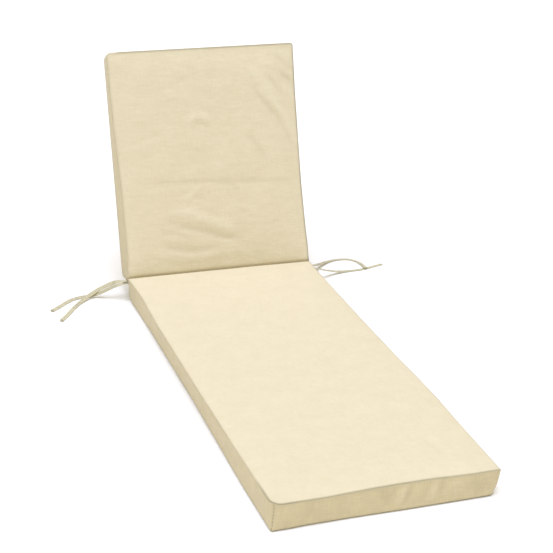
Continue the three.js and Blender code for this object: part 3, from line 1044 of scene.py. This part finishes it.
@dataclass
class CornerStitches:
    """The thread that shows in the upright seam at the foot's left corner."""

    line: np.ndarray
    out: Vector
    count: int = 8
    proud: float = 0.0005

    def build(self) -> bpy.types.Object:
        """Lays the stitches down the seam.

        Returns:
            The finished thread.
        """
        thread = bmesh.new()
        row = StitchRow(length=0.0046, thick=0.0008)
        run = np.concatenate([[0], np.cumsum(np.linalg.norm(np.diff(self.line, axis=0), axis=1))])
        for number in range(self.count):
            place = run[-1] * (number + 0.7) / (self.count + 0.4)
            ends = [Vector([np.interp(place + shift, run, column) for column in self.line.T])
                    for shift in (-0.001, 0.001)]
            middle = (ends[0] + ends[1]) / 2 + self.out * self.proud
            row.add(thread, middle, ends[1] - ends[0], self.out)
        mesh = bpy.data.meshes.new("corner_stitches")
        thread.to_mesh(mesh)
        thread.free()
        mesh.shade_smooth()
        mesh.materials.append(Thread("dark sewing thread", (0.33, 0.28, 0.18)).build())
        piece = bpy.data.objects.new("corner_stitches", mesh)
        bpy.context.scene.collection.objects.link(piece)
        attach(piece, BODY)
        log.info("%s: %d stitches", piece.name, self.count)
        return piece


@dataclass(frozen=True)
class TiePoint:
    """A point of a tie's route; tilt is the turn of its width about the route, in degrees."""

    x: float
    y: float
    z: float
    tilt: float


LEFT_UPPER = (
    TiePoint(-0.3002, 0.004, 0.0605, 0),
    TiePoint(-0.313, 0.010, 0.0595, 4),
    TiePoint(-0.330, 0.026, 0.0530, 35),
    TiePoint(-0.348, 0.034, 0.0440, 52),
    TiePoint(-0.367, 0.038, 0.0345, 52),
    TiePoint(-0.386, 0.039, 0.0255, 48),
    TiePoint(-0.405, 0.035, 0.0175, 42),
    TiePoint(-0.424, 0.026, 0.0110, 34),
    TiePoint(-0.441, 0.013, 0.0066, 28),
    TiePoint(-0.456, -0.001, 0.0044, 24),
    TiePoint(-0.470, -0.018, 0.0036, 22),
    TiePoint(-0.483, -0.035, 0.0036, 22),
    TiePoint(-0.495, -0.053, 0.0036, 22),
    TiePoint(-0.507, -0.070, 0.0035, 20),
    TiePoint(-0.520, -0.087, 0.0032, 18),
    TiePoint(-0.534, -0.104, 0.0028, 14),
)
LEFT_LOWER = (
    TiePoint(-0.3002, 0.004, 0.0570, 0),
    TiePoint(-0.315, 0.004, 0.0545, 4),
    TiePoint(-0.334, 0.005, 0.0510, 30),
    TiePoint(-0.348, 0.013, 0.0420, 46),
    TiePoint(-0.362, 0.021, 0.0315, 46),
    TiePoint(-0.377, 0.029, 0.0205, 42),
    TiePoint(-0.394, 0.037, 0.0110, 32),
    TiePoint(-0.413, 0.043, 0.0056, 24),
    TiePoint(-0.433, 0.044, 0.0036, 22),
    TiePoint(-0.452, 0.040, 0.0034, 20),
    TiePoint(-0.470, 0.033, 0.0032, 18),
    TiePoint(-0.487, 0.021, 0.0032, 18),
    TiePoint(-0.502, 0.008, 0.0032, 18),
    TiePoint(-0.516, -0.005, 0.0032, 18),
    TiePoint(-0.531, -0.018, 0.0030, 16),
    TiePoint(-0.548, -0.030, 0.0026, 12),
)
RIGHT_UPPER = (
    TiePoint(0.3002, 0.004, 0.0605, 0),
    TiePoint(0.314, 0.016, 0.0520, 0),
    TiePoint(0.330, 0.032, 0.0400, -6),
    TiePoint(0.345, 0.050, 0.0300, -10),
    TiePoint(0.360, 0.067, 0.0225, -10),
    TiePoint(0.376, 0.085, 0.0160, -8),
    TiePoint(0.393, 0.101, 0.0105, -6),
    TiePoint(0.412, 0.116, 0.0062, -3),
    TiePoint(0.433, 0.128, 0.0032, 0),
    TiePoint(0.456, 0.135, 0.0018, 0),
    TiePoint(0.480, 0.136, 0.0015, 0),
    TiePoint(0.504, 0.129, 0.0015, 0),
    TiePoint(0.520, 0.111, 0.0017, 0),
    TiePoint(0.528, 0.089, 0.0024, 0),
    TiePoint(0.530, 0.064, 0.0040, 0),
    TiePoint(0.529, 0.040, 0.0050, 0),
)
RIGHT_LOWER = (
    TiePoint(0.3002, 0.003, 0.0565, 0),
    TiePoint(0.316, 0.001, 0.0475, 0),
    TiePoint(0.336, 0.003, 0.0400, 0),
    TiePoint(0.356, 0.008, 0.0320, -4),
    TiePoint(0.375, 0.014, 0.0245, -8),
    TiePoint(0.393, 0.022, 0.0175, -12),
    TiePoint(0.412, 0.029, 0.0110, -12),
    TiePoint(0.432, 0.034, 0.0060, -10),
    TiePoint(0.453, 0.038, 0.0030, -6),
    TiePoint(0.474, 0.040, 0.0018, -2),
    TiePoint(0.496, 0.041, 0.0014, 0),
    TiePoint(0.517, 0.044, 0.0014, 0),
    TiePoint(0.538, 0.049, 0.0014, 0),
    TiePoint(0.558, 0.055, 0.0014, 0),
    TiePoint(0.578, 0.061, 0.0014, 0),
    TiePoint(0.599, 0.067, 0.0014, 0),
)


@dataclass
class Tie:
    """A tie strip: cloth folded to a flat band with stitches along one edge, and a hemmed tip."""

    node: str
    route: tuple[TiePoint, ...]
    fold_y: float
    width: float = 0.012
    thick: float = 0.002
    steps: int = 96
    corners: int = 16
    hem: float = 0.007
    stitch_pitch: float = 0.0052
    stitch_inset: float = 0.0018

    def __post_init__(self) -> None:
        """Samples the route evenly."""
        points = np.array([[p.x, self.fold_y + p.y, p.z, p.tilt] for p in self.route])
        fine = catmull_rom(points, np.linspace(0, len(points) - 1, 12 * self.steps + 1))
        steps = np.linalg.norm(np.diff(fine[:, :3], axis=0), axis=1)
        run = np.concatenate([[0], np.cumsum(steps)])
        self.length = float(run[-1])
        self.run = np.linspace(0, self.length, self.steps + 1)
        self.line = np.stack([np.interp(self.run, run, column) for column in fine.T], axis=1)

    def frame_at(self, run: float) -> Matrix:
        """The strip's own axes at a distance along it: across, out of its face, and along."""
        def at(distance: float) -> np.ndarray:
            """The route's point and tilt at a distance."""
            return np.array([np.interp(distance, self.run, column) for column in self.line.T])

        here = at(run)
        ahead, behind = at(min(run + 0.002, self.length)), at(max(run - 0.002, 0))
        along = Vector(ahead[:3] - behind[:3]).normalized()
        level = Vector((along.y, -along.x, 0)).normalized()
        upright = level.cross(along).normalized()
        tilt = math.radians(here[3])
        across = level * math.cos(tilt) + upright * math.sin(tilt)
        out = along.cross(across)
        turn = Matrix((across, out, along)).transposed().to_4x4()
        return Matrix.Translation(here[:3]) @ turn

    def section(self, strip: bmesh.types.BMesh) -> list[bmesh.types.BMVert]:
        """Makes the strip's first section, a flat outline with round edges.

        Args:
            strip: the mesh that gets it.

        Returns:
            Its vertices, in the strip's own axes.
        """
        made = bmesh.ops.create_circle(strip, cap_ends=True, segments=self.corners, radius=1.0)
        for vertex in made["verts"]:
            x, y = vertex.co.x, vertex.co.y
            flat = math.copysign(abs(x) ** 0.7, x) * self.width / 2
            rim = 0.82 + 0.18 * abs(x) ** 4
            vertex.co = (flat, math.copysign(abs(y) ** 0.5, y) * self.thick / 2 * rim, 0)
        return made["verts"]

    def sweep(self) -> bmesh.types.BMesh:
        """Extrudes the section along the route.

        Returns:
            The closed strip, with layers for the distance along it and across it.
        """
        strip = bmesh.new()
        along = strip.verts.layers.float.new("along")
        across = strip.verts.layers.float.new("across")
        ring = self.section(strip)
        for vertex in ring:
            vertex[across] = vertex.co.x
        cap = strip.faces[:]
        before = self.frame_at(0)
        bmesh.ops.transform(strip, matrix=before, verts=ring)
        for run in self.run[1:]:
            made = bmesh.ops.extrude_face_region(strip, geom=cap, use_keep_orig=run == self.run[1])
            ring = [part for part in made["geom"] if isinstance(part, bmesh.types.BMVert)]
            cap = [part for part in made["geom"] if isinstance(part, bmesh.types.BMFace)]
            after = self.frame_at(run)
            bmesh.ops.transform(strip, matrix=after @ before.inverted(), verts=ring)
            before = after
            for vertex in ring:
                vertex[along] = run
        bmesh.ops.recalc_face_normals(strip, faces=strip.faces)
        return strip

    def hemmed(self, strip: bmesh.types.BMesh) -> None:
        """Thickens the tip, where the end is turned in, and narrows its last corners."""
        along = strip.verts.layers.float["along"]
        for vertex in strip.verts:
            left = self.length - vertex[along]
            if left > self.hem:
                continue
            turn = self.frame_at(vertex[along])
            place = turn.inverted() @ vertex.co
            end = math.exp(-left / 0.0012)
            place.y *= 1.3 - 0.6 * end
            place.x *= 1.0 - 0.10 * end
            vertex.co = turn @ place

    def stitch(self, strip: bmesh.types.BMesh) -> None:
        """Lays stitches on both faces beside one edge, and across the hem."""
        row = StitchRow()
        lift = 0.45 * self.thick
        count = int((self.length - 2 * self.hem) / self.stitch_pitch)
        for number in range(count):
            turn = self.frame_at(0.006 + (number + 0.5) * self.stitch_pitch)
            for face in (1, -1):
                spot = turn @ Vector((self.width / 2 - self.stitch_inset, face * lift, 0))
                row.add(strip, spot, turn.col[2].xyz, face * turn.col[1].xyz)
        turn = self.frame_at(self.length - self.hem + 0.001)
        for place in (-0.0035, 0.0, 0.0035):
            for face in (1, -1):
                spot = turn @ Vector((place, face * 1.15 * lift, 0))
                row.add(strip, spot, turn.col[0].xyz, face * turn.col[1].xyz)

    def build(self) -> bpy.types.Object:
        """Returns:
            The finished strip.
        """
        strip = self.sweep()
        self.hemmed(strip)
        cloth_faces = len(strip.faces)
        wrap = strip.loops.layers.uv.new("cloth")
        along = strip.verts.layers.float["along"]
        across = strip.verts.layers.float["across"]
        for face in strip.faces:
            for loop in face.loops:
                loop[wrap].uv = (loop.vert[across], loop.vert[along])
        self.stitch(strip)
        strip.faces.ensure_lookup_table()
        for face in strip.faces[cloth_faces:]:
            face.material_index = 1
        for face in strip.faces:
            face.smooth = True
        # Painted shade at both ends of the strip: the turned hem's shadow at its tip and the shade
        # at its root by the cushion.
        painted_shading = strip.verts.layers.float.new("seam")
        for vertex in strip.verts:
            end = min(self.length - vertex[along], vertex[along])
            vertex[painted_shading] = 0.8 * math.exp(-((end / self.hem) ** 2))
        mesh = bpy.data.meshes.new(self.node)
        strip.to_mesh(mesh)
        strip.free()
        mesh.materials.append(TIE_CANVAS.build())
        mesh.materials.append(Thread().build())
        piece = bpy.data.objects.new(self.node + "_strip", mesh)
        bpy.context.scene.collection.objects.link(piece)
        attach(piece, BODY)
        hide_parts(self.node)
        log.info("%s: %.3f m long", piece.name, self.length)
        return piece


@dataclass
class Studio:
    """The camera, a plain pale floor and soft lights."""

    eye: Vector = field(default_factory=lambda: Vector((-1.35688, -3.44667, 1.93579)))
    azimuth: float = 21.48868
    elevation: float = 24.26459
    roll: float = 3.39021
    focal_px: float = 1435.38
    floor_size: float = 90.0

    def camera(self) -> None:
        """Makes the camera at the photograph's place and angle."""
        turn, tip = math.radians(self.azimuth), math.radians(self.elevation)
        ahead = Vector((math.sin(turn) * math.cos(tip), math.cos(turn) * math.cos(tip),
                        -math.sin(tip)))
        right = ahead.cross(Vector((0, 0, 1))).normalized()
        up = right.cross(ahead)
        roll = math.radians(self.roll)
        wide = right * math.cos(roll) + up * math.sin(roll)
        tall = up * math.cos(roll) - right * math.sin(roll)
        data = bpy.data.cameras.new("camera")
        data.sensor_width = 36.0
        data.lens = data.sensor_width * self.focal_px / PHOTO_SIDE
        eye = bpy.data.objects.new("camera", data)
        basis = Matrix((wide, tall, -ahead)).transposed().to_4x4()
        eye.matrix_world = Matrix.Translation(self.eye) @ basis
        bpy.context.scene.collection.objects.link(eye)
        bpy.context.scene.camera = eye

    def floor(self) -> None:
        """Lays a plain pale floor under the cushion."""
        sheet = NodeSheet("pale floor")
        sheet.shader.inputs["Base Color"].default_value = rgba((0.94, 0.94, 0.94))
        sheet.shader.inputs["Roughness"].default_value = 0.9
        plane = bmesh.new()
        bmesh.ops.create_grid(plane, x_segments=2, y_segments=2, size=self.floor_size / 2)
        mesh = bpy.data.meshes.new("floor")
        plane.to_mesh(mesh)
        plane.free()
        mesh.materials.append(sheet.material)
        floor = bpy.data.objects.new("floor", mesh)
        bpy.context.scene.collection.objects.link(floor)

    def sky(self, name: str, towards: Vector, colour: tuple[float, float, float],
            strength: float, spread: float) -> None:
        """Adds an even light from one side of the sky.

        Args:
            name: its name.
            towards: the way to its middle.
            colour: its colour.
            strength: its strength, in watts for each square metre.
            spread: how wide it looks, in degrees.
        """
        data = bpy.data.lights.new(name, "SUN")
        data.color = colour
        data.energy = strength
        data.angle = math.radians(spread)
        lamp = bpy.data.objects.new(name, data)
        lamp.matrix_world = towards.to_track_quat("Z", "Y").to_matrix().to_4x4()
        bpy.context.scene.collection.objects.link(lamp)

    def light(self, name: str, place: Vector, target: Vector, size: float, power: float) -> None:
        """Hangs one soft square light.

        Args:
            name: its name.
            place: where it hangs.
            target: what it shines at.
            size: its side.
            power: its strength, in watts.
        """
        data = bpy.data.lights.new(name, "AREA")
        data.size = size
        data.energy = power
        data.color = (1.0, 0.96, 0.86)
        lamp = bpy.data.objects.new(name, data)
        lamp.matrix_world = (Matrix.Translation(place)
                             @ (target - place).to_track_quat("-Z", "Y").to_matrix().to_4x4())
        bpy.context.scene.collection.objects.link(lamp)

    def build(self) -> None:
        """Sets up the floor, the lights and the pale surroundings."""
        self.floor()
        self.sky("overhead", Vector((-0.12, -0.12, 0.98)), (0.96, 1.01, 1.26), 2.43, 50)
        self.light("front", Vector((-2.2, -4.2, 2.6)), Vector((0, 0, 0.2)), 2.5, 16)
        world = bpy.data.worlds.new("studio")
        world.use_nodes = True
        sky = world.node_tree.nodes["Background"]
        sky.inputs["Color"].default_value = rgba((1.05, 0.96, 0.70))
        sky.inputs["Strength"].default_value = 0.52
        bpy.context.scene.world = world
        bpy.context.scene.view_settings.view_transform = "Standard"


def main() -> None:
    """Builds the camera, the ties, the cover and the studio, in that order."""
    logging.basicConfig(level=logging.INFO, format="%(name)s: %(message)s")
    studio = Studio()
    studio.camera()
    cover = Cover()
    for node, route in (("tie_left_upper", LEFT_UPPER), ("tie_left_lower", LEFT_LOWER),
                        ("tie_right_upper", RIGHT_UPPER), ("tie_right_lower", RIGHT_LOWER)):
        Tie(node, route, cover.fold_y).build()
    cover.build()
    studio.build()


if __name__ == "__main__":
    main()
